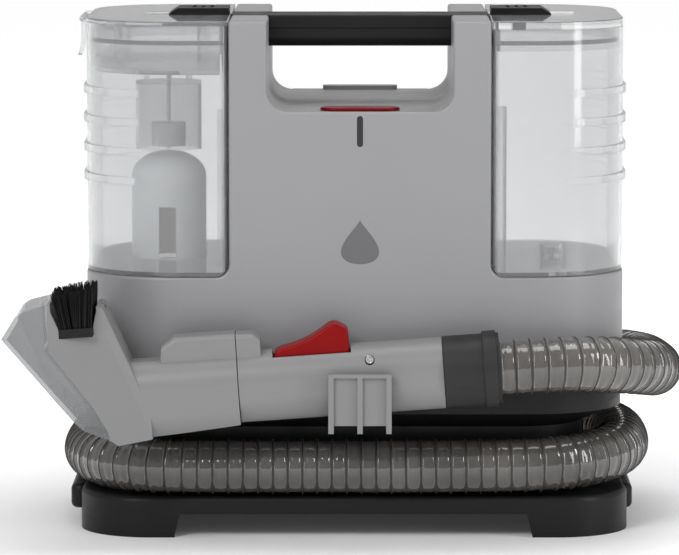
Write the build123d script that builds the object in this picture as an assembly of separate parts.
from build123d import *
import math
import os

os.makedirs("parts", exist_ok=True)

# Portable carpet cleaner. X is to the right, Y to the back, Z up, in millimetres.
# The origin is on the floor, under the middle of the carry handle.

# ---- casing -------------------------------------------------------------------------------
BODY_LEFT = -187.0
BODY_RIGHT = 180.0
DEPTH = 220.0
CORNER = 65.0
WALL = 3.0
EDGE = 2.0
BODY_BOTTOM = 100.0
SEAT_Z = 177.0
TOP_Z = 349.0
COLUMN_HALF = 88.0
SEAT_CORNER = 9.0
OPENING_HALF = 62.5
OPENING_FLOOR = 288.5
OPENING_CORNER = 14.0
FRONT = -DEPTH / 2
BACK = DEPTH / 2
SEAM = 0.6
HUMP_HALF = 26.5
HUMP_HEIGHT = 3.0
NOTCH_X = 50.0
VENT_HALF = 46.0
VENT_BOTTOM = 196.0
VENT_TOP = 252.0
GLAND_X = -60.0
GLAND_Z = 140.0
GLAND_RADIUS = 9.0
SCREW_RADIUS = 2.2
SCREW_HEAD_RADIUS = 4.2

# ---- base, core and ledge -----------------------------------------------------------------
BASE_LEFT = -191.0
BASE_RIGHT = 183.0
BASE_CORNER = 50.0
BASE_TOP = 28.0
ARCH_LEFT = -126.0
ARCH_RIGHT = 117.0
ARCH_TOP = 16.0
ARCH_BACK = 20.0
FOOT_WALL = 7.0
PAD_RADIUS = 9.0
PAD_DEPTH = 3.0
END_RAIL_PROUD = 4.5
CORE_LEFT = -161.0
CORE_RIGHT = 153.0
CORE_HALF = BACK - 28.0
CORE_CORNER = 45.0
LEDGE_FOOT = 72.0
LEDGE_RIM = 84.0

# ---- carry handle -------------------------------------------------------------------------
HANDLE_FRONT = -33.0
HANDLE_BACK = 9.0
HANDLE_BOTTOM = 327.6
HANDLE_TOP = 349.3
HANDLE_STRAP = 338.0

# ---- power button -------------------------------------------------------------------------
BUTTON_LENGTH = 53.4
BUTTON_WIDTH = 22.0
BUTTON_Y = FRONT + 18.0
BUTTON_PROUD = 2.2
BUTTON_TRAVEL = 2.5
BUTTON_GAP = 0.4
LENS_Z = 275.5
LENS_HEIGHT = 20.6
LENS_WIDTH = 3.8
LENS_GAP = 0.1

# ---- tanks --------------------------------------------------------------------------------
TANK_WALL = 2.5
TANK_FACE = COLUMN_HALF + SEAM
TANK_INSET = 0.5
DIRTY_LID = 2.7
CLEAN_LID = 5.7
PLUG_GAP = 0.5
PLUG_WALL = 2.2
DIRTY_PLUG_BOTTOM = 327.0
CLEAN_PLUG_BOTTOM = 329.0
RIB_PROUD = 2.2
RIB_HEIGHT = 5.0
RIB_TOP = 303.0
RIB_PITCH = 19.7
RIB_COUNT = 4
COLUMN_X = -132.7
COLUMN_RADIUS = 26.0
COLUMN_SHOULDER = 236.0
COLUMN_DOME = 254.0
COLUMN_WALL = 2.2
COLUMN_SLOT_FOOT = 1.2
COLUMN_SLOT_TOP = 36.0
COLUMN_SLOT_HALF = 5.8
CAGE_RADIUS = 23.0
CAGE_BOTTOM = 255.0
CAGE_TOP = 302.0
TRAY_BOTTOM = 313.0
TRAY_TOP = 323.0
ROD_RADIUS = 1.5
VALVE_X = 133.0

# ---- sliding locks ------------------------------------------------------------------------
LOCK_FRONT = -28.0
LOCK_BACK = 12.0
LOCK_PROUD = 4.6
LOCK_RECESS = 1.2
LOCK_TRAVEL = 15.0
LOCK_INNER = 90.0

# ---- lid clip -----------------------------------------------------------------------------
CLIP_PIN_X = -191.0
CLIP_PIN_Z = 345.6
CLIP_PIN_RADIUS = 1.25
CLIP_FRONT = -8.0
CLIP_BACK = 22.0
CLIP_BOTTOM = 320.0

# ---- hand tool, in its own axes: X along the tool, Z towards the trigger ------------------
TOOL_AT = (55.8, FRONT - 27.0, 116.4)
TOOL_TILT = 4.0
GRIP_WIDTH = 44.0
GRIP_HEIGHT = 47.4
GRIP_ROUND = 20.0
GRIP_END = -136.5
GRIP_WALL = 2.5
TRIGGER_HALF = 11.3
TRIGGER_GAP = 0.8
TRIGGER_ROUND = 1.8
PIVOT = (-107.0, 14.5)
PIVOT_RADIUS = 1.5
RUNNING = 0.05
MOUTH_HALF = 38.0
NECK_HALF = 22.5
CUFF_LENGTH = 38.0
CUFF_RADIUS = 24.3
SPIGOT_RADIUS = 17.0

# ---- cradle -------------------------------------------------------------------------------
CRADLE_HALF = 21.0
CRADLE_FLOOR = 87.2
CRADLE_TOP = 118.8
CRADLE_FRONT = FRONT - 55.0

# ---- hose ---------------------------------------------------------------------------------
HOSE_DIAMETER = 38.0
PORT_X = 62.0
PORT_MOUTH_X = 92.0
PORT_Y = CORE_HALF + 22.5
PORT_Z = 50.0
PORT_RADIUS = 21.5


def save(shape, name):
    """Write one node, as separate solids when it holds several."""
    shape.label = name
    export_step(shape, f"parts/{name}.step")


def block(x0, x1, y0, y1, z0, z1):
    return Pos((x0 + x1) / 2, (y0 + y1) / 2, (z0 + z1) / 2) * Box(x1 - x0, y1 - y0, z1 - z0)


def slab(x0, x1, y0, y1, z0, z1, radius):
    """Upright block with rounded plan corners."""
    plan = RectangleRounded(x1 - x0, y1 - y0, radius)
    return Pos((x0 + x1) / 2, (y0 + y1) / 2, z0) * extrude(plan, z1 - z0)


def rod(radius, start, end):
    """Round bar from one point to another."""
    start, end = Vector(*start), Vector(*end)
    return extrude(Plane(start, z_dir=end - start) * Circle(radius), (end - start).length)


def side_cut(points, y0, y1):
    """Block with a side outline given as (x, z) points, from y0 back to y1."""
    outline = make_face(Polyline(*[(x, 0, z) for x, z in points], close=True))
    return Pos(0, y0, 0) * extrude(outline, y1 - y0, dir=(0, 1, 0))


def body_plan(z0, z1, shrink=0.0):
    """The machine's outline from above, drawn in by shrink, as an upright block."""
    return slab(BODY_LEFT + shrink, BODY_RIGHT - shrink, FRONT + shrink, BACK - shrink, z0, z1,
                CORNER - shrink)


def helix_spring(radius, wire, height, turns, at):
    """Compression spring standing on the point at."""
    line = Helix(height / turns, height, radius)
    section = Plane(line @ 0, z_dir=line % 0) * Circle(wire)
    return Pos(*at) * sweep(section, line, is_frenet=True)


# ---- casing -------------------------------------------------------------------------------
def casing_profile(shrink=0.0):
    """Front outline of the casing: lower block, column, two posts and the opening."""
    out = 20.0
    column, opening = COLUMN_HALF - shrink, OPENING_HALF + shrink
    seat, floor, top = SEAT_Z - shrink, OPENING_FLOOR - shrink, TOP_Z - shrink
    bottom = BODY_BOTTOM + shrink
    right = [(opening, floor), (opening, top), (column, top), (column, seat), (BODY_RIGHT + out, seat),
             (BODY_RIGHT + out, bottom)]
    left = [(-x, z) for x, z in reversed(right[:4])]
    left = [(BODY_LEFT - out, bottom), (BODY_LEFT - out, seat)] + left
    face = make_face(Polyline(*left, *right, close=True))
    for x, z, size in ((column, seat, SEAT_CORNER + shrink), (opening, floor, OPENING_CORNER + shrink),
                       (column, top, EDGE), (opening, top, EDGE)):
        corners = [v for v in face.vertices() if abs(abs(v.X) - x) < 0.01 and abs(v.Y - z) < 0.01]
        face = fillet(corners, size)
    return face


def casing_block(shrink=0.0):
    face = Plane.XZ * casing_profile(shrink)
    return extrude(face, DEPTH, both=True) & body_plan(BODY_BOTTOM + shrink, TOP_Z, shrink)


def outline_edges(solid):
    """Edges where the front outline meets the walls, without the bottom rim and the smooth joins."""
    picked = []
    for edge in solid.edges():
        middle = edge @ 0.5
        level = abs(edge.tangent_at(0.5).Z) < 0.99
        on_face = abs(abs(middle.Y) - BACK) < 0.01 and (level or abs(middle.X) < COLUMN_HALF + 1)
        on_seat = abs(middle.Z - SEAT_Z) < 0.01 and abs(middle.X) > COLUMN_HALF + SEAT_CORNER - 1
        if (on_face or on_seat) and middle.Z > BODY_BOTTOM + 1:
            picked.append(edge)
    return picked


def make_casing():
    solid = casing_block()
    solid = fillet(outline_edges(solid), EDGE)
    cavity = casing_block(WALL)
    open_bottom = slab(CORE_LEFT + 12, CORE_RIGHT - 12, -CORE_HALF + 12, CORE_HALF - 12,
                       BODY_BOTTOM - 1, BODY_BOTTOM + WALL + 1, CORE_CORNER - 12)
    solid = solid - cavity - open_bottom
    # hump on the back edge of the opening floor, and two small notches
    hump = slab(-HUMP_HALF, HUMP_HALF, BACK - 16, BACK - 3, OPENING_FLOOR - 1, OPENING_FLOOR + HUMP_HEIGHT, 5)
    solid = solid + hump
    for x in (-NOTCH_X, NOTCH_X):
        notch = Pos(x, BACK, OPENING_FLOOR) * Rot(0, 45, 0) * Box(3, 8, 3)
        solid -= notch
    # pocket for the handle strap on each post top
    solid -= block(-COLUMN_HALF - 1, COLUMN_HALF + 1, HANDLE_FRONT, HANDLE_BACK, HANDLE_STRAP, TOP_Z + 1)
    # power button hole and indicator slot
    solid -= Pos(0, BUTTON_Y, OPENING_FLOOR - 5) * extrude(
        SlotOverall(BUTTON_LENGTH + 2 * BUTTON_GAP, BUTTON_WIDTH + 2 * BUTTON_GAP), 7)
    lens_slot = SlotOverall(LENS_HEIGHT + 2 * LENS_GAP, LENS_WIDTH + 2 * LENS_GAP, rotation=90)
    solid -= Pos(0, FRONT + WALL, LENS_Z) * Rot(90, 0, 0) * extrude(lens_slot, 8, both=True)
    # tank connections through the two seats
    for x, radius in ((COLUMN_X, 17.0), (VALVE_X, 9.0)):
        solid -= rod(radius, (x, 0, SEAT_Z - 8), (x, 0, SEAT_Z + 2))
    # exhaust window, cord gland hole and screw holes in the back
    solid -= block(-VENT_HALF, VENT_HALF, BACK - 6, BACK + 1, VENT_BOTTOM, VENT_TOP)
    solid -= rod(GLAND_RADIUS, (GLAND_X, BACK - 8, GLAND_Z), (GLAND_X, BACK + 1, GLAND_Z))
    for x, z in SCREWS:
        solid -= rod(SCREW_RADIUS, (x, BACK - 8, z), (x, BACK + 1, z))
        solid -= rod(SCREW_HEAD_RADIUS, (x, BACK - 1.6, z), (x, BACK + 1, z))
    return solid


SCREWS = [(x, z) for x in (-110.0, 110.0) for z in (116.0, 162.0)]
SCREWS += [(x, z) for x in (-76.0, 76.0) for z in (212.0, 318.0)]

casing = make_casing()
save(casing & block(-300, 300, FRONT - 5, 0, 0, 400), "casing_front")
save(casing & block(-300, 300, 0, BACK + 5, 0, 400), "casing_rear")


def make_screw(x, z):
    head = rod(4.0, (x, BACK - 1.6, z), (x, BACK - 0.1, z)) - block(
        x - 2.6, x + 2.6, BACK - 0.9, BACK, z - 0.5, z + 0.5)
    return head + rod(2.0, (x, BACK - 14, z), (x, BACK - 1.6, z))


save(Compound(children=[make_screw(x, z) for x, z in SCREWS]), "casing_screws")


# ---- base ---------------------------------------------------------------------------------
PADS = [(x, y) for x in (BASE_LEFT + 26, BASE_RIGHT - 26) for y in (-70.0, 70.0)]


def make_base():
    tray = slab(BASE_LEFT, BASE_RIGHT, FRONT, BACK, 0, BASE_TOP, BASE_CORNER)
    tray = fillet(tray.edges().group_by(Axis.Z)[-1], 4)
    for side in (BASE_LEFT, BASE_RIGHT):
        rail = slab(side - 8, side + END_RAIL_PROUD, -52, 52, 10.5, BASE_TOP - 0.5, 6)
        tray += fillet(rail.edges().filter_by(Plane.XY), 4)
    arch = side_cut([(ARCH_LEFT, -1), (ARCH_LEFT + 4, ARCH_TOP), (ARCH_RIGHT - 4, ARCH_TOP), (ARCH_RIGHT, -1)],
                    FRONT - 5, ARCH_BACK)
    tray -= arch
    # hollows from below, inside the feet and behind the arch, and one under the core
    inner = FRONT + 2 * FOOT_WALL
    for x0, x1, y0, y1 in ((BASE_LEFT + 14, ARCH_LEFT - FOOT_WALL, inner, -inner),
                           (ARCH_RIGHT + FOOT_WALL, BASE_RIGHT - 14, inner, -inner),
                           (ARCH_LEFT + FOOT_WALL, ARCH_RIGHT - FOOT_WALL, ARCH_BACK + FOOT_WALL, -inner)):
        tray -= slab(x0, x1, y0, y1, -1, ARCH_TOP - 3, 12)
    for x, y in PADS:
        tray += rod(PAD_RADIUS + 4, (x, y, 0), (x, y, ARCH_TOP - 1))
        tray -= rod(PAD_RADIUS, (x, y, -1), (x, y, PAD_DEPTH))
    tray -= slab(CORE_LEFT + 8, CORE_RIGHT - 8, -CORE_HALF + 8, CORE_HALF - 8, ARCH_TOP + 4, BASE_TOP + 1,
                 CORE_CORNER - 8)
    return tray


save(make_base(), "base_tray")
save(Compound(children=[rod(PAD_RADIUS - 0.05, (x, y, 0), (x, y, PAD_DEPTH)) for x, y in PADS]), "foot_pads")


def core_plan(z0, z1, shrink=0.0):
    return slab(CORE_LEFT + shrink, CORE_RIGHT - shrink, -CORE_HALF + shrink, CORE_HALF - shrink, z0, z1,
                CORE_CORNER - shrink)


def make_core():
    core = core_plan(BASE_TOP, LEDGE_FOOT) - core_plan(BASE_TOP - 1, LEDGE_FOOT + 1, WALL)
    core -= rod(PORT_RADIUS - 5, (PORT_X, CORE_HALF - 8, PORT_Z), (PORT_X, CORE_HALF + 5, PORT_Z))
    return core


def make_ledge():
    under = (CORE_LEFT + CORE_RIGHT) / 2
    over = (BODY_LEFT + BODY_RIGHT) / 2
    foot = Pos(under, 0, LEDGE_FOOT) * RectangleRounded(CORE_RIGHT - CORE_LEFT, 2 * CORE_HALF, CORE_CORNER)
    rim = Pos(over, 0, LEDGE_RIM) * RectangleRounded(
        BODY_RIGHT - BODY_LEFT - 4, DEPTH - 4, CORNER - 2)
    ledge = loft([foot, rim]) + body_plan(LEDGE_RIM, BODY_BOTTOM, 1.0)
    return ledge - core_plan(LEDGE_FOOT - 1, BODY_BOTTOM + 1, 6)


save(make_core(), "base_core")
save(make_ledge(), "hose_ledge")


# ---- carry handle, button, indicator ------------------------------------------------------
def make_handle():
    bar = side_cut([(-COLUMN_HALF, HANDLE_STRAP), (-OPENING_HALF, HANDLE_STRAP),
                    (-OPENING_HALF, HANDLE_BOTTOM), (OPENING_HALF, HANDLE_BOTTOM),
                    (OPENING_HALF, HANDLE_STRAP), (COLUMN_HALF, HANDLE_STRAP),
                    (COLUMN_HALF, HANDLE_TOP), (-COLUMN_HALF, HANDLE_TOP)], HANDLE_FRONT, HANDLE_BACK)
    low = [e for e in bar.edges() if abs((e @ 0.5).Z - HANDLE_BOTTOM) < 0.01 and abs((e % 0.5).X) > 0.9]
    bar = fillet(low, 8)
    high = [e for e in bar.edges() if abs((e @ 0.5).Z - HANDLE_TOP) < 0.01 and abs((e % 0.5).X) > 0.9]
    bar = fillet(high, 1.5)
    # parting groove between the upper cap and the lower grip
    for y in (HANDLE_FRONT, HANDLE_BACK):
        bar -= block(-OPENING_HALF + 0.5, OPENING_HALF - 0.5, y - 0.6, y + 0.6, 339.5, 340.4)
    return bar


save(make_handle(), "carry_handle")


def make_button():
    floor = OPENING_FLOOR - WALL
    cap = extrude(SlotOverall(BUTTON_LENGTH, BUTTON_WIDTH), WALL + BUTTON_PROUD + 0.5)
    cap = fillet(cap.edges().group_by(Axis.Z)[-1], 1.2)
    cap = Pos(0, BUTTON_Y, floor - 0.5) * cap
    cap += Pos(0, BUTTON_Y, floor - 2.0) * extrude(SlotOverall(BUTTON_LENGTH + 5, BUTTON_WIDTH + 5), 1.5)
    return cap + rod(4.5, (0, BUTTON_Y, floor - 5), (0, BUTTON_Y, floor - 2))


save(make_button(), "power_button")
SWITCH_TOP = OPENING_FLOOR - WALL - 13
save(helix_spring(6.0, 0.5, 9.6, 4.5, (0, BUTTON_Y, SWITCH_TOP + 0.6)), "button_spring")
save(block(-13, 13, BUTTON_Y - 9, BUTTON_Y + 9, SWITCH_TOP - 16, SWITCH_TOP)
     + rod(2.5, (0, BUTTON_Y, SWITCH_TOP), (0, BUTTON_Y, SWITCH_TOP + 5)), "power_switch")
LENS = SlotOverall(LENS_HEIGHT, LENS_WIDTH, rotation=90)
save(Pos(0, FRONT + WALL, LENS_Z) * Rot(90, 0, 0) * extrude(LENS, WALL - 0.3), "indicator_lens")


def make_board():
    board = block(-38, 38, FRONT + 14, FRONT + 15.6, 193, 250)
    for x, z, width, height, deep in ((-22, 210, 16, 14, 12), (4, 228, 22, 18, 9), (24, 206, 10, 10, 15)):
        chip = Pos(x, FRONT + 15.6 + deep / 2, z) * Box(width, deep, height)
        board += chip
    return board


save(make_board(), "control_board")


# ---- cradle -------------------------------------------------------------------------------
def make_cradle():
    back, thick = FRONT, 3.0
    tray = block(-CRADLE_HALF, CRADLE_HALF, CRADLE_FRONT, back, CRADLE_FLOOR - thick, CRADLE_FLOOR)
    wall = block(-CRADLE_HALF, CRADLE_HALF, CRADLE_FRONT, CRADLE_FRONT + thick, CRADLE_FLOOR - thick, CRADLE_TOP)
    root = block(-CRADLE_HALF, CRADLE_HALF, back - 2, back, CRADLE_FLOOR - thick, CRADLE_TOP)
    cradle = tray + wall + root
    for x in (-CRADLE_HALF + 1.8, 0.0, CRADLE_HALF - 1.8):
        cradle += block(x - 1.8, x + 1.8, CRADLE_FRONT - 2.5, CRADLE_FRONT + 1, CRADLE_FLOOR - 8, CRADLE_TOP)
        cradle += block(x - 1.8, x + 1.8, CRADLE_FRONT - 2.5, back, CRADLE_FLOOR - 8, CRADLE_FLOOR - 1)
    cradle += block(-CRADLE_HALF, CRADLE_HALF, CRADLE_FRONT - 2.5, CRADLE_FRONT + 1, CRADLE_TOP - 2.4, CRADLE_TOP)
    return cradle


save(make_cradle(), "tool_cradle")


# ---- inside the casing --------------------------------------------------------------------
FAN_BOTTOM = 108.0
FAN_TOP = 146.0
MOTOR_TOP = 222.0
SHAFT = 4.0


def drum(radius, z0, z1, wall, bore):
    """Round can, closed at both ends, with a bore through its lower end."""
    can = rod(radius, (0, 0, z0), (0, 0, z1)) - rod(radius - wall, (0, 0, z0 + wall), (0, 0, z1 - wall))
    return can - rod(bore, (0, 0, z0 - 1), (0, 0, z0 + wall + 1))


save(drum(48, FAN_TOP, MOTOR_TOP, 2.5, SHAFT + RUNNING), "motor_can")
save(drum(62, FAN_BOTTOM, FAN_TOP, 2.0, 20) - rod(SHAFT + 6, (0, 0, FAN_TOP - 5), (0, 0, FAN_TOP + 1)),
     "fan_cover")
shaft = rod(SHAFT, (0, 0, FAN_BOTTOM + 6), (0, 0, MOTOR_TOP - 6))
rotor = rod(30, (0, 0, FAN_TOP + 14), (0, 0, MOTOR_TOP - 16)) + shaft
save(rotor, "motor_rotor")


def make_impeller():
    hub = rod(12, (0, 0, FAN_BOTTOM + 8), (0, 0, FAN_TOP - 8)) + rod(54, (0, 0, FAN_TOP - 12), (0, 0, FAN_TOP - 9))
    for turn in range(9):
        hub += Rot(0, 0, 40 * turn) * block(8, 53, -1, 1, FAN_BOTTOM + 10, FAN_TOP - 10)
    return hub - rod(SHAFT, (0, 0, FAN_BOTTOM), (0, 0, FAN_TOP))


save(make_impeller(), "fan_impeller")
save(rod(66, (0, 0, BODY_BOTTOM + 1), (0, 0, FAN_BOTTOM)) - rod(40, (0, 0, BODY_BOTTOM), (0, 0, FAN_BOTTOM + 1)),
     "motor_ring")
save(block(100, 150, -24, 24, 106, 140) + rod(14, (125, 0, 140), (125, 0, 152)), "pump_body")
save(rod(5, (VALVE_X, 0, 152.2), (VALVE_X, 0, SEAT_Z - 5)) - rod(3.5, (VALVE_X, 0, 150), (VALVE_X, 0, 180)),
     "pump_inlet_tube")


def make_grille():
    gap = 0.3
    grille = block(-VENT_HALF + gap, VENT_HALF - gap, BACK - WALL, BACK - 0.2, VENT_BOTTOM + gap, VENT_TOP - gap)
    for turn in range(9):
        z = VENT_BOTTOM + 5 + 6 * turn
        grille -= block(-VENT_HALF + 6, VENT_HALF - 6, BACK - 6, BACK + 1, z, z + 3)
    return grille


save(make_grille(), "exhaust_grille")


def gland_rod(radius, start, end):
    return rod(radius, (GLAND_X, BACK + start, GLAND_Z), (GLAND_X, BACK + end, GLAND_Z))


save(gland_rod(GLAND_RADIUS - 0.1, -8, 0) + gland_rod(12, 0, 3) - gland_rod(3.6, -9, 4), "cord_gland")


def make_port():
    """Elbow that takes the hose end, out of the back of the core towards +X."""
    corner = (PORT_X, PORT_Y, PORT_Z)
    mouth = (PORT_MOUTH_X, PORT_Y, PORT_Z)
    root = (PORT_X, CORE_HALF, PORT_Z)
    elbow = rod(PORT_RADIUS, corner, mouth) + rod(PORT_RADIUS, root, corner) + Pos(*corner) * Sphere(PORT_RADIUS)
    bore = PORT_RADIUS - 3.5
    elbow -= rod(bore, corner, (PORT_MOUTH_X - 4, PORT_Y, PORT_Z)) + Pos(*corner) * Sphere(bore)
    elbow -= rod(bore, (PORT_X, CORE_HALF - 1, PORT_Z), corner)
    elbow -= rod(bore - 3, corner, (PORT_MOUTH_X + 1, PORT_Y, PORT_Z))
    return elbow & block(-300, 300, CORE_HALF, 300, BASE_TOP, 200)


save(make_port(), "hose_port")


def make_duct():
    """Suction duct from the hose port, through the core, up to the dirty tank."""
    start = (PORT_X, CORE_HALF - 3.2, PORT_Z)
    line = FilletPolyline(start, (PORT_X, 30, PORT_Z), (COLUMN_X, 0, PORT_Z), (COLUMN_X, 0, SEAT_Z - 5),
                          radius=26)
    section = Plane(line @ 0, z_dir=line % 0) * (Circle(14) - Circle(12))
    return sweep(section, line)


save(make_duct(), "suction_duct")
save(rod(19, (COLUMN_X, 0, SEAT_Z - 5), (COLUMN_X, 0, SEAT_Z - WALL))
     + rod(16.6, (COLUMN_X, 0, SEAT_Z - WALL), (COLUMN_X, 0, SEAT_Z + 0.3))
     - rod(13, (COLUMN_X, 0, SEAT_Z - 9), (COLUMN_X, 0, SEAT_Z + 1)), "dirty_tank_seal")
save(rod(8.6, (VALVE_X, 0, SEAT_Z - 5), (VALVE_X, 0, SEAT_Z))
     - rod(5.5, (VALVE_X, 0, SEAT_Z - 9), (VALVE_X, 0, SEAT_Z + 1)), "clean_tank_socket")


# ---- tanks --------------------------------------------------------------------------------
def tank_plan(side, shrink, z0, z1):
    """Plan of the tank on one side (-1 left, +1 right), drawn in by shrink, as an upright block."""
    face = TANK_FACE + shrink
    outer = BODY_LEFT - 20 if side < 0 else BODY_RIGHT + 20
    inner = -face if side < 0 else face
    solid = body_plan(z0, z1, TANK_INSET + shrink) & block(
        min(outer, inner), max(outer, inner), FRONT - 5, BACK + 5, z0, z1)
    corners = [e for e in solid.edges() if abs(abs((e @ 0.5).X) - face) < 0.01 and abs((e % 0.5).Z) > 0.99]
    return fillet(corners, max(6 - shrink, 1.0))


def make_tank(side, rim):
    bottom = SEAT_Z + SEAM
    shell = tank_plan(side, 0, bottom, rim)
    shell -= tank_plan(side, TANK_WALL, bottom + TANK_WALL, rim + 1)
    # the lower inner edge is bevelled to clear the seat corner
    x = side * TANK_FACE
    cut = SEAT_CORNER * 0.62
    bevel = side_cut([(x - side, bottom - 1), (x + side * (cut + 1), bottom - 1), (x - side, bottom + cut + 1)],
                     FRONT - 5, BACK + 5)
    fill = side_cut([(x, bottom), (x + side * (cut + 4), bottom), (x, bottom + cut + 4)],
                    FRONT + 6, BACK - 6)
    shell = shell + fill - bevel
    for turn in range(RIB_COUNT):
        z = RIB_TOP - RIB_PITCH * turn
        crescent = Pos(side * RIB_PROUD, 0, 0) * body_plan(z - RIB_HEIGHT, z, TANK_INSET)
        reach = BODY_LEFT if side < 0 else BODY_RIGHT
        near = reach - side * 40
        crescent &= block(min(reach + side * 9, near), max(reach + side * 9, near), FRONT, BACK, z - 20, z)
        crescent -= body_plan(z - 20, z + 1, TANK_INSET + 1)
        shell += crescent
    return shell


def make_dirty_tank():
    shell = make_tank(-1, TOP_Z - DIRTY_LID - 0.3)
    shell += block(-97.8, -94.3, -44, -40, SEAT_Z + SEAM + 1, 285)
    shell += block(-96, -TANK_FACE - 1, -44, -40, SEAT_Z + SEAM + SEAT_CORNER, 285)
    shell += block(BODY_LEFT - 1.4, BODY_LEFT + 1.5, 0, 14, 324, 327)
    return shell - rod(13, (COLUMN_X, 0, SEAT_Z), (COLUMN_X, 0, SEAT_Z + 6))


def make_clean_tank():
    shell = make_tank(1, TOP_Z - CLEAN_LID - 0.3)
    shell += rod(3.2, (97.2, -40, SEAT_Z + SEAM + 1), (97.2, -40, 287))
    shell += block(TANK_FACE + 1, 97.2, -41, -39, SEAT_Z + SEAM + SEAT_CORNER, 287)
    shell += rod(11, (VALVE_X, 0, SEAT_Z + SEAM), (VALVE_X, 0, SEAT_Z + 12))
    return shell - rod(6, (VALVE_X, 0, SEAT_Z), (VALVE_X, 0, SEAT_Z + 20))


save(make_dirty_tank(), "dirty_tank_shell")
save(make_clean_tank(), "clean_tank_shell")

valve_base = SEAT_Z + SEAM + 1
save(rod(5.9, (VALVE_X, 0, valve_base + 4), (VALVE_X, 0, valve_base + 8))
     + rod(2.5, (VALVE_X, 0, valve_base - 1), (VALVE_X, 0, valve_base + 4)), "clean_tank_valve")


def make_column():
    """Intake column: round riser with a domed top and a slot near its foot."""
    foot = SEAT_Z + SEAM + TANK_WALL

    def riser(wall, z0):
        radius = COLUMN_RADIUS - wall
        dome = COLUMN_DOME - wall
        wide = Line((0, z0), (radius, z0))
        up = Line((radius, z0), (radius, COLUMN_SHOULDER))
        over = EllipticalCenterArc((0, COLUMN_SHOULDER), radius, dome - COLUMN_SHOULDER, start_angle=0,
                                   arc_size=90)
        close = Line((0, dome), (0, z0))
        return revolve(Plane.XZ * make_face(wide + up + over + close), Axis.Z)

    column = Pos(COLUMN_X, 0, 0) * (riser(0, foot) - riser(COLUMN_WALL, foot - 1))
    column -= block(COLUMN_X - COLUMN_SLOT_HALF, COLUMN_X + COLUMN_SLOT_HALF, -COLUMN_RADIUS - 5, 0,
                    foot + COLUMN_SLOT_FOOT, foot + COLUMN_SLOT_TOP)
    return column - block(COLUMN_X - 9, COLUMN_X + 9, 0, COLUMN_RADIUS + 5, 222, 240)


save(make_column(), "intake_column")


def make_lock_slot(side, lid):
    """Recess and guide slot of one sliding lock in its lid."""
    inner, outer = LOCK_INNER - 1.0, LOCK_INNER + 43.0 + LOCK_TRAVEL
    x0, x1 = sorted((side * inner, side * outer))
    lid -= block(x0, x1, LOCK_FRONT - 1, LOCK_BACK + 1, TOP_Z - LOCK_RECESS, TOP_Z + 1)
    slot0, slot1 = sorted((side * (LOCK_INNER + 14), side * (LOCK_INNER + 24 + LOCK_TRAVEL)))
    middle = (LOCK_FRONT + LOCK_BACK) / 2
    return lid - block(slot0 - 0.5, slot1 + 0.5, middle - 4.5, middle + 4.5, TOP_Z - 10, TOP_Z + 1)


def make_lock(side, lid_thickness):
    z0 = TOP_Z - LOCK_RECESS + 0.1
    near, far = LOCK_INNER, LOCK_INNER + 41.0
    points = [(side * near, z0), (side * near, TOP_Z + LOCK_PROUD), (side * (far - 6), TOP_Z + LOCK_PROUD),
              (side * far, TOP_Z + 0.8), (side * far, z0)]
    body = side_cut(points, LOCK_FRONT, LOCK_BACK)
    for step in range(3):
        x = side * (near + 12 + 6 * step)
        body -= block(x - 1.2, x + 1.2, LOCK_FRONT + 6, LOCK_BACK - 6,
                      TOP_Z + LOCK_PROUD - 0.9, TOP_Z + LOCK_PROUD + 1)
    middle = (LOCK_FRONT + LOCK_BACK) / 2
    under = TOP_Z - lid_thickness
    s0, s1 = sorted((side * (LOCK_INNER + 14.5), side * (LOCK_INNER + 23.5)))
    body += block(s0, s1, middle - 4, middle + 4, under - 2.5, z0)
    return body + block(s0, s1, middle - 8, middle + 8, under - 2.5, under - 0.3)


def plug_ring(side, z0, z1):
    outer = tank_plan(side, TANK_WALL + PLUG_GAP, z0, z1)
    return outer - tank_plan(side, TANK_WALL + PLUG_GAP + PLUG_WALL, z0 - 1, z1 + 1)


def make_lid(side, thickness, plug_bottom):
    lid = tank_plan(side, 0, TOP_Z - thickness, TOP_Z)
    lid = fillet(lid.edges().group_by(Axis.Z)[-1], 1.0)
    lid += plug_ring(side, plug_bottom, TOP_Z - thickness)
    groove = GASKET[side]
    lid -= tank_plan(side, TANK_WALL + PLUG_GAP - 1, groove, groove + 3) - tank_plan(
        side, TANK_WALL + PLUG_GAP + 1.2, groove - 1, groove + 4)
    return make_lock_slot(side, lid)


GASKET = {-1: 333.0, 1: 333.0}


def make_dirty_lid():
    lid = make_lid(-1, DIRTY_LID, DIRTY_PLUG_BOTTOM)
    for y0, y1 in ((CLIP_FRONT - 3.5, CLIP_FRONT - 0.4), (CLIP_BACK + 0.4, CLIP_BACK + 3.5)):
        lid += block(CLIP_PIN_X, BODY_LEFT + 3, y0, y1, CLIP_PIN_Z - 2.2, TOP_Z)
        lid += rod(2.4, (CLIP_PIN_X, y0, CLIP_PIN_Z), (CLIP_PIN_X, y1, CLIP_PIN_Z))
    # the lugs stay outside the tank wall
    lid -= block(BODY_LEFT + 0.2, BODY_LEFT + 10, CLIP_FRONT - 5, CLIP_BACK + 5, CLIP_PIN_Z - 5,
                 TOP_Z - DIRTY_LID) - tank_plan(-1, TANK_WALL + 0.2, CLIP_PIN_Z - 6, TOP_Z)
    return lid - rod(CLIP_PIN_RADIUS, (CLIP_PIN_X, CLIP_FRONT - 9, CLIP_PIN_Z),
                     (CLIP_PIN_X, CLIP_BACK + 9, CLIP_PIN_Z))


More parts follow.
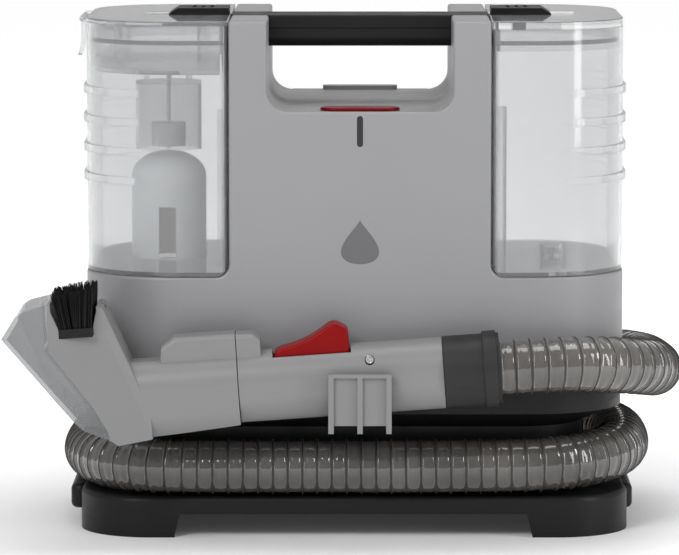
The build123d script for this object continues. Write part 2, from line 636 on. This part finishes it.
save(make_dirty_lid(), "dirty_lid")
save(make_lid(1, CLEAN_LID, CLEAN_PLUG_BOTTOM), "clean_lid")
save(make_lock(-1, DIRTY_LID), "dirty_lid_lock")
save(make_lock(1, CLEAN_LID), "clean_lid_lock")
for side, name in ((-1, "dirty_lid_gasket"), (1, "clean_lid_gasket")):
    z = GASKET[side]
    save(tank_plan(side, TANK_WALL + 0.3, z + 0.1, z + 2.9)
         - tank_plan(side, TANK_WALL + PLUG_GAP + 1.2, z - 1, z + 4), name)


def make_clip():
    body = side_cut([(CLIP_PIN_X - 1.3, CLIP_PIN_Z + 1.5), (CLIP_PIN_X - 1.3, 330), (CLIP_PIN_X - 3.6, CLIP_BOTTOM),
                     (CLIP_PIN_X - 1.2, CLIP_BOTTOM), (CLIP_PIN_X + 1.7, 330), (CLIP_PIN_X + 1.7, CLIP_PIN_Z)],
                    CLIP_FRONT, CLIP_BACK)
    body += rod(2.4, (CLIP_PIN_X, CLIP_FRONT, CLIP_PIN_Z), (CLIP_PIN_X, CLIP_BACK, CLIP_PIN_Z))
    return body - rod(CLIP_PIN_RADIUS + RUNNING, (CLIP_PIN_X, CLIP_FRONT - 1, CLIP_PIN_Z),
                      (CLIP_PIN_X, CLIP_BACK + 1, CLIP_PIN_Z))


save(make_clip(), "lid_clip")
save(rod(CLIP_PIN_RADIUS, (CLIP_PIN_X, CLIP_FRONT - 3.5, CLIP_PIN_Z), (CLIP_PIN_X, CLIP_BACK + 3.5, CLIP_PIN_Z)),
     "lid_clip_pin")


def make_tray():
    tray = tank_plan(-1, 5.5, TRAY_BOTTOM, TRAY_TOP) - tank_plan(-1, 7.5, TRAY_BOTTOM + 2.5, TRAY_TOP + 1)
    for x in (-165.0, -108.0):
        for y in (-45.0, 45.0):
            tray += rod(3, (x, y, TRAY_BOTTOM + 1), (x, y, TOP_Z - DIRTY_LID))
    return tray - rod(9, (COLUMN_X, 0, TRAY_BOTTOM - 1), (COLUMN_X, 0, TRAY_BOTTOM + 4))


def make_cage():
    cage = rod(CAGE_RADIUS, (COLUMN_X, 0, CAGE_BOTTOM), (COLUMN_X, 0, CAGE_TOP))
    cage -= rod(CAGE_RADIUS - 1.8, (COLUMN_X, 0, CAGE_BOTTOM - 1), (COLUMN_X, 0, CAGE_TOP - 2))
    for turn in range(3):
        angle = math.radians(90 + 120 * turn)
        x, y = COLUMN_X + 17 * math.cos(angle), 17 * math.sin(angle)
        cage += rod(2, (x, y, CAGE_TOP - 1), (x, y, TRAY_BOTTOM))
    return cage - rod(ROD_RADIUS, (COLUMN_X, 0, CAGE_TOP - 5), (COLUMN_X, 0, CAGE_TOP + 1))


save(make_tray(), "separator_tray")
save(make_cage(), "float_cage")
save(rod(ROD_RADIUS, (COLUMN_X, 0, CAGE_BOTTOM), (COLUMN_X, 0, TRAY_BOTTOM + 2)) + rod(
    8.9, (COLUMN_X, 0, TRAY_BOTTOM), (COLUMN_X, 0, TRAY_BOTTOM + 2)), "float_rod")
save(rod(12, (COLUMN_X, 0, CAGE_BOTTOM + 2), (COLUMN_X, 0, CAGE_BOTTOM + 18))
     - rod(ROD_RADIUS + RUNNING, (COLUMN_X, 0, CAGE_BOTTOM), (COLUMN_X, 0, CAGE_BOTTOM + 20)), "float")


# ---- hand tool ----------------------------------------------------------------------------
def place(shape):
    """Put a piece drawn in the tool's own axes where the tool lies in its cradle."""
    return Pos(*TOOL_AT) * Rot(0, -TOOL_TILT, 0) * shape


def grip_bar(x0, x1, shrink=0.0):
    section = RectangleRounded(GRIP_WIDTH - 2 * shrink, GRIP_HEIGHT - 2 * shrink, GRIP_ROUND - shrink)
    return Pos(x0, 0, 0) * extrude(Plane.YZ * section, x1 - x0)


def make_grip():
    outer = grip_bar(GRIP_END, 0)
    hump = side_cut([(GRIP_END, 10), (GRIP_END, 36.6), (-125, 36.2), (-120.6, 32), (-120.6, 10)], -13, 13)
    hump = fillet([e for e in hump.edges() if (e @ 0.5).Z > 33 and abs((e % 0.5).Y) < 0.5], 4)
    outer += hump
    outer -= block(-113, -60.6, -40, 40, 19.5, 60)
    pocket = block(-115, -58.6, -TRIGGER_HALF - 3, TRIGGER_HALF + 3, 1.5, 19.5) & grip_bar(GRIP_END, 0)
    shell = outer - grip_bar(GRIP_END + GRIP_WALL, -GRIP_WALL, GRIP_WALL) + pocket
    roof = block(-113, -60.6, -40, 40, 17, 19.5) & grip_bar(GRIP_END, 0)
    shell = shell + roof
    shell -= block(-113, -60.6, -TRIGGER_HALF - TRIGGER_GAP, TRIGGER_HALF + TRIGGER_GAP, 4, 61)
    shell -= rod(15.3, (GRIP_END - 1, 0, 0), (GRIP_END + 4, 0, 0))
    shell += rod(SPIGOT_RADIUS, (-GRIP_WALL, 0, 0), (20, 0, 0))
    shell -= rod(14, (-GRIP_WALL - 1, 0, 0), (21, 0, 0))
    shell -= rod(PIVOT_RADIUS, (PIVOT[0], -14.5, PIVOT[1]), (PIVOT[0], 14.5, PIVOT[1]))
    shell -= rod(2.6, (-86, 0, 0), (-86, 0, 6))
    shell -= rod(3.3, (-48.5, -30, 14), (-48.5, -15, 14))
    return shell


grip = make_grip()
save(place(grip & block(-300, 60, -60, 0, -60, 90)), "grip_front_shell")
save(place(grip & block(-300, 60, 0, 60, -60, 90)), "grip_rear_shell")


def make_trigger():
    low = Polyline((-61.6, 27), (-61.6, 11), (-112, 11), (-112, 19))
    back = Spline((-112, 19), (-104, 25.2), (-90.4, 29.3), (-78, 36), (-70.2, 39.0), (-64.2, 36.0), (-61.6, 27),
                  tangents=((0, 1), (0, -1)))
    body = extrude(Plane.XZ * make_face(low + back), TRIGGER_HALF, both=True)
    rim = [e for e in body.edges() if abs(abs((e @ 0.5).Y) - TRIGGER_HALF) < 0.01 and (e @ 0.5).Z > 12]
    body = fillet(rim, TRIGGER_ROUND)
    return body - rod(PIVOT_RADIUS + RUNNING, (PIVOT[0], -20, PIVOT[1]), (PIVOT[0], 20, PIVOT[1]))


save(place(make_trigger()), "trigger")
save(place(rod(PIVOT_RADIUS, (PIVOT[0], -14.5, PIVOT[1]), (PIVOT[0], 14.5, PIVOT[1]))), "trigger_pin")
save(place(helix_spring(3.0, 0.4, 5.8, 3.5, (-72, 0, 4.6))), "trigger_spring")
save(place(rod(2.5, (-86, 0, -6), (-86, 0, 10.6))), "valve_plunger")
save(place(block(-98, -74, -8, 8, -17, 1.4) - rod(2.55, (-86, 0, -12), (-86, 0, 2))), "valve_block")


def make_cuff():
    cuff = rod(CUFF_RADIUS, (0.3, 0, 0), (CUFF_LENGTH, 0, 0)) + rod(CUFF_RADIUS + 1.6, (27, 0, 0), (36, 0, 0))
    cuff -= rod(SPIGOT_RADIUS + RUNNING, (0, 0, 0), (21, 0, 0)) + rod(15.5, (20, 0, 0), (CUFF_LENGTH + 1, 0, 0))
    return cuff


save(place(make_cuff()), "hose_cuff")

# Head outline points in the tool's axes.
BRUSH_LEFT, BRUSH_RIGHT = -252.0, -230.0
BRUSH_SPLAY_LEFT, BRUSH_SPLAY_RIGHT = -256.5, -227.3
SPRAY_X = -223.6
TUFTS = 9
TUFT_PITCH = 7.0
TUFT_HALF = 2.8
SOLE_FRONT = (-240.1, -17.9)
SOLE_BACK = (-223.6, -26.0)
STRIP_FOOT = (-224.9, -20.0)
STRIP_KNEE = (-233.4, -3.5)
STRIP_TOP = (-259.8, 36.1)
LIP = (-258.5, 67.6)


def make_nozzle():
    """Neck with its raised spine, and the flared head without the clear window."""
    neck = side_cut([(-137, -23.4), (-177, -26.8), (-222, -30.0), (-222, 22.4), (-187.5, 22.4), (-137, 23.4)],
                    -40, 40)
    neck &= Pos(-250, 0, -3.5) * extrude(Plane.YZ * RectangleRounded(2 * NECK_HALF, 54, 19), 113)
    spine = side_cut([(-137, 10), (-137, 37.2), (-178.5, 37.3), (-186.3, 32), (-187.5, 22), (-187.5, 10)],
                     -13, 13)
    spine = fillet([e for e in spine.edges() if (e @ 0.5).Z > 27 and abs((e % 0.5).Y) < 0.5], 4)
    head = side_cut([(-196, -28.4), (-218.7, -30.2), SOLE_BACK, STRIP_FOOT, STRIP_KNEE, STRIP_TOP, LIP,
                     (-222.9, 62.1), (-206.8, 19.7), (-196, -11)], -60, 60)
    head = head & flare()
    body = neck + spine + head
    # suction way: round in the neck, flat in the head
    body -= rod(10.5, (-225, 0, -3), (-130, 0, -0.5))
    body -= side_cut([(-204, -20), (-232, -18), (-234, -8), (-225, 12), (-204, 10)], -18, 18)
    body -= side_cut([(BRUSH_LEFT - 0.3, 44), (BRUSH_RIGHT + 0.3, 44), (BRUSH_RIGHT + 0.3, 50),
                      (BRUSH_SPLAY_RIGHT + 0.3, 60), (BRUSH_SPLAY_RIGHT + 0.3, 90),
                      (BRUSH_SPLAY_LEFT - 0.3, 90), (BRUSH_SPLAY_LEFT - 0.3, 62), (BRUSH_LEFT - 0.3, 50)],
                     -MOUTH_HALF + 6, MOUTH_HALF - 6)
    body -= rod(2.2, (SPRAY_X, 0, 46), (SPRAY_X, 0, 90))
    return body + (rod(15, (-137.5, 0, 0), (-124, 0, 0)) - rod(12.5, (-138, 0, 0), (-120, 0, 0)))


def flare():
    """Block that is narrow at the neck and widens towards the mouth, its creases square to the sole."""
    slope = math.degrees(math.atan2(62.1 + 11, -222.9 + 196)) - 90
    half = [(60, NECK_HALF), (-6, NECK_HALF), (-52, MOUTH_HALF), (-120, MOUTH_HALF)]
    plan = half + [(x, -y) for x, y in reversed(half)]
    solid = extrude(make_face(Polyline(*plan, close=True)), 150, both=True)
    return Pos(-206.8, 0, 19.7) * Rot(0, -slope, 0) * solid


def make_window():
    """Clear cover of the suction way, open along the mouth."""
    outer = [SOLE_BACK, SOLE_FRONT, (-245.5, -12.4), (-290, 47.2), (-280.1, 60.8), (-274.6, 64.1), LIP,
             STRIP_TOP, STRIP_KNEE, STRIP_FOOT]
    inner = [(-222, -17.5), (-239, -15), (-243.7, -10.4), (-286.5, 46.6), (-278, 58.5), (-276, 80), (-264, 80),
             (-262, 62), (-262.3, 37), (-236, -3), (-228, -5)]
    window = side_cut(outer, -60, 60) & flare()
    hollow = side_cut(inner, -60, 60) & scaled_flare()
    return window - hollow


def scaled_flare():
    return scale(flare(), by=(1, 1 - 2.5 / MOUTH_HALF, 1))


save(place(make_nozzle()), "nozzle_body")
save(place(make_window()), "nozzle_window")
save(place(block(BRUSH_LEFT, BRUSH_RIGHT, -MOUTH_HALF + 6.3, MOUTH_HALF - 6.3, 44, 50)), "brush_block")


def make_bristles():
    """Three plain bristle rows with toothed tops, the outer two leaning out."""
    left, right = BRUSH_SPLAY_LEFT, BRUSH_SPLAY_RIGHT
    profiles = [
        [(BRUSH_LEFT + 0.5, 50), (-246, 50), (-246.5, 74), (-250, 73.5), (left, 62)],
        [(-244.5, 50), (-237.5, 50), (-237, 75.5), (-245, 74.5)],
        [(-236, 50), (BRUSH_RIGHT - 0.5, 50), (right, 60), (-229, 75.5), (-235.5, 76)],
    ]
    rows = Part()
    for profile in profiles:
        for turn in range(TUFTS):
            y = (turn - (TUFTS - 1) / 2) * TUFT_PITCH
            rows += side_cut(profile, y - TUFT_HALF, y + TUFT_HALF)
    return rows


save(place(Compound(children=list(make_bristles().solids()))), "brush_bristles")
spray_tube = rod(2.2, (SPRAY_X, 0, 46), (SPRAY_X, 0, 61)) - rod(0.8, (SPRAY_X, 0, 45), (SPRAY_X, 0, 62))
save(place(spray_tube), "spray_tip")


# ---- hose ---------------------------------------------------------------------------------
def tool_point(x, z):
    """A point of the tool's axes in the machine's frame."""
    tilt = math.radians(TOOL_TILT)
    return (TOOL_AT[0] + x * math.cos(tilt) - z * math.sin(tilt), TOOL_AT[1],
            TOOL_AT[2] + x * math.sin(tilt) + z * math.cos(tilt))


HOSE_ROUTE = [
    tool_point(CUFF_LENGTH, 0),
    tool_point(CUFF_LENGTH + 38, 0),
    (168, FRONT - 14, 120),
    (195, FRONT + 17, 114),
    (203, -46, 107),
    (204, 12, 102),
    (201, 68, 99),
    (176, BACK + 2, 97),
    (130, BACK + 24, 94),
    (68, BACK + 26, 88),
    (0, BACK + 26.5, 78),
    (-62, BACK + 25, 67),
    (-115, BACK + 17, 58),
    (-158, BACK - 7, 52),
    (-182, 64, 49),
    (-187, 14, 48),
    (-186, -36, 48),
    (-172, FRONT + 31, 48),
    (-142, FRONT + 8, 47.8),
    (-98, FRONT + 5, 47.8),
    (-34, FRONT + 6.5, 47.6),
    (34, FRONT + 5, 47.8),
    (92, FRONT + 5.5, 48.2),
    (134, FRONT + 8, 49.2),
    (164, FRONT + 30, 51),
    (180, -44, 52.5),
    (182, -2, 53.5),
    (179, 42, 53),
    (162, BACK - 28, 51.6),
    (129, PORT_Y, PORT_Z),
    (PORT_MOUTH_X, PORT_Y, PORT_Z),
]


def hose_radii(points):
    radii = []
    for before, here, after in zip(points, points[1:], points[2:]):
        first, second = Vector(*here) - Vector(*before), Vector(*after) - Vector(*here)
        turn = math.radians(first.get_angle(second))
        radii.append(0.45 * min(first.length, second.length) / math.tan(turn / 2))
    return radii


def make_hose():
    radii = hose_radii(HOSE_ROUTE)
    print("hose radii", [round(r) for r in radii])
    line = FilletPolyline(*HOSE_ROUTE, radius=radii)
    section = Plane(line @ 0, z_dir=line % 0) * Circle(HOSE_DIAMETER / 2)
    tube = sweep(section, line)
    area = math.pi * HOSE_DIAMETER ** 2 / 4
    print("hose length", round(line.length), "volume ratio", round(tube.volume / (area * line.length), 4))
    return tube


save(make_hose(), "suction_hose")
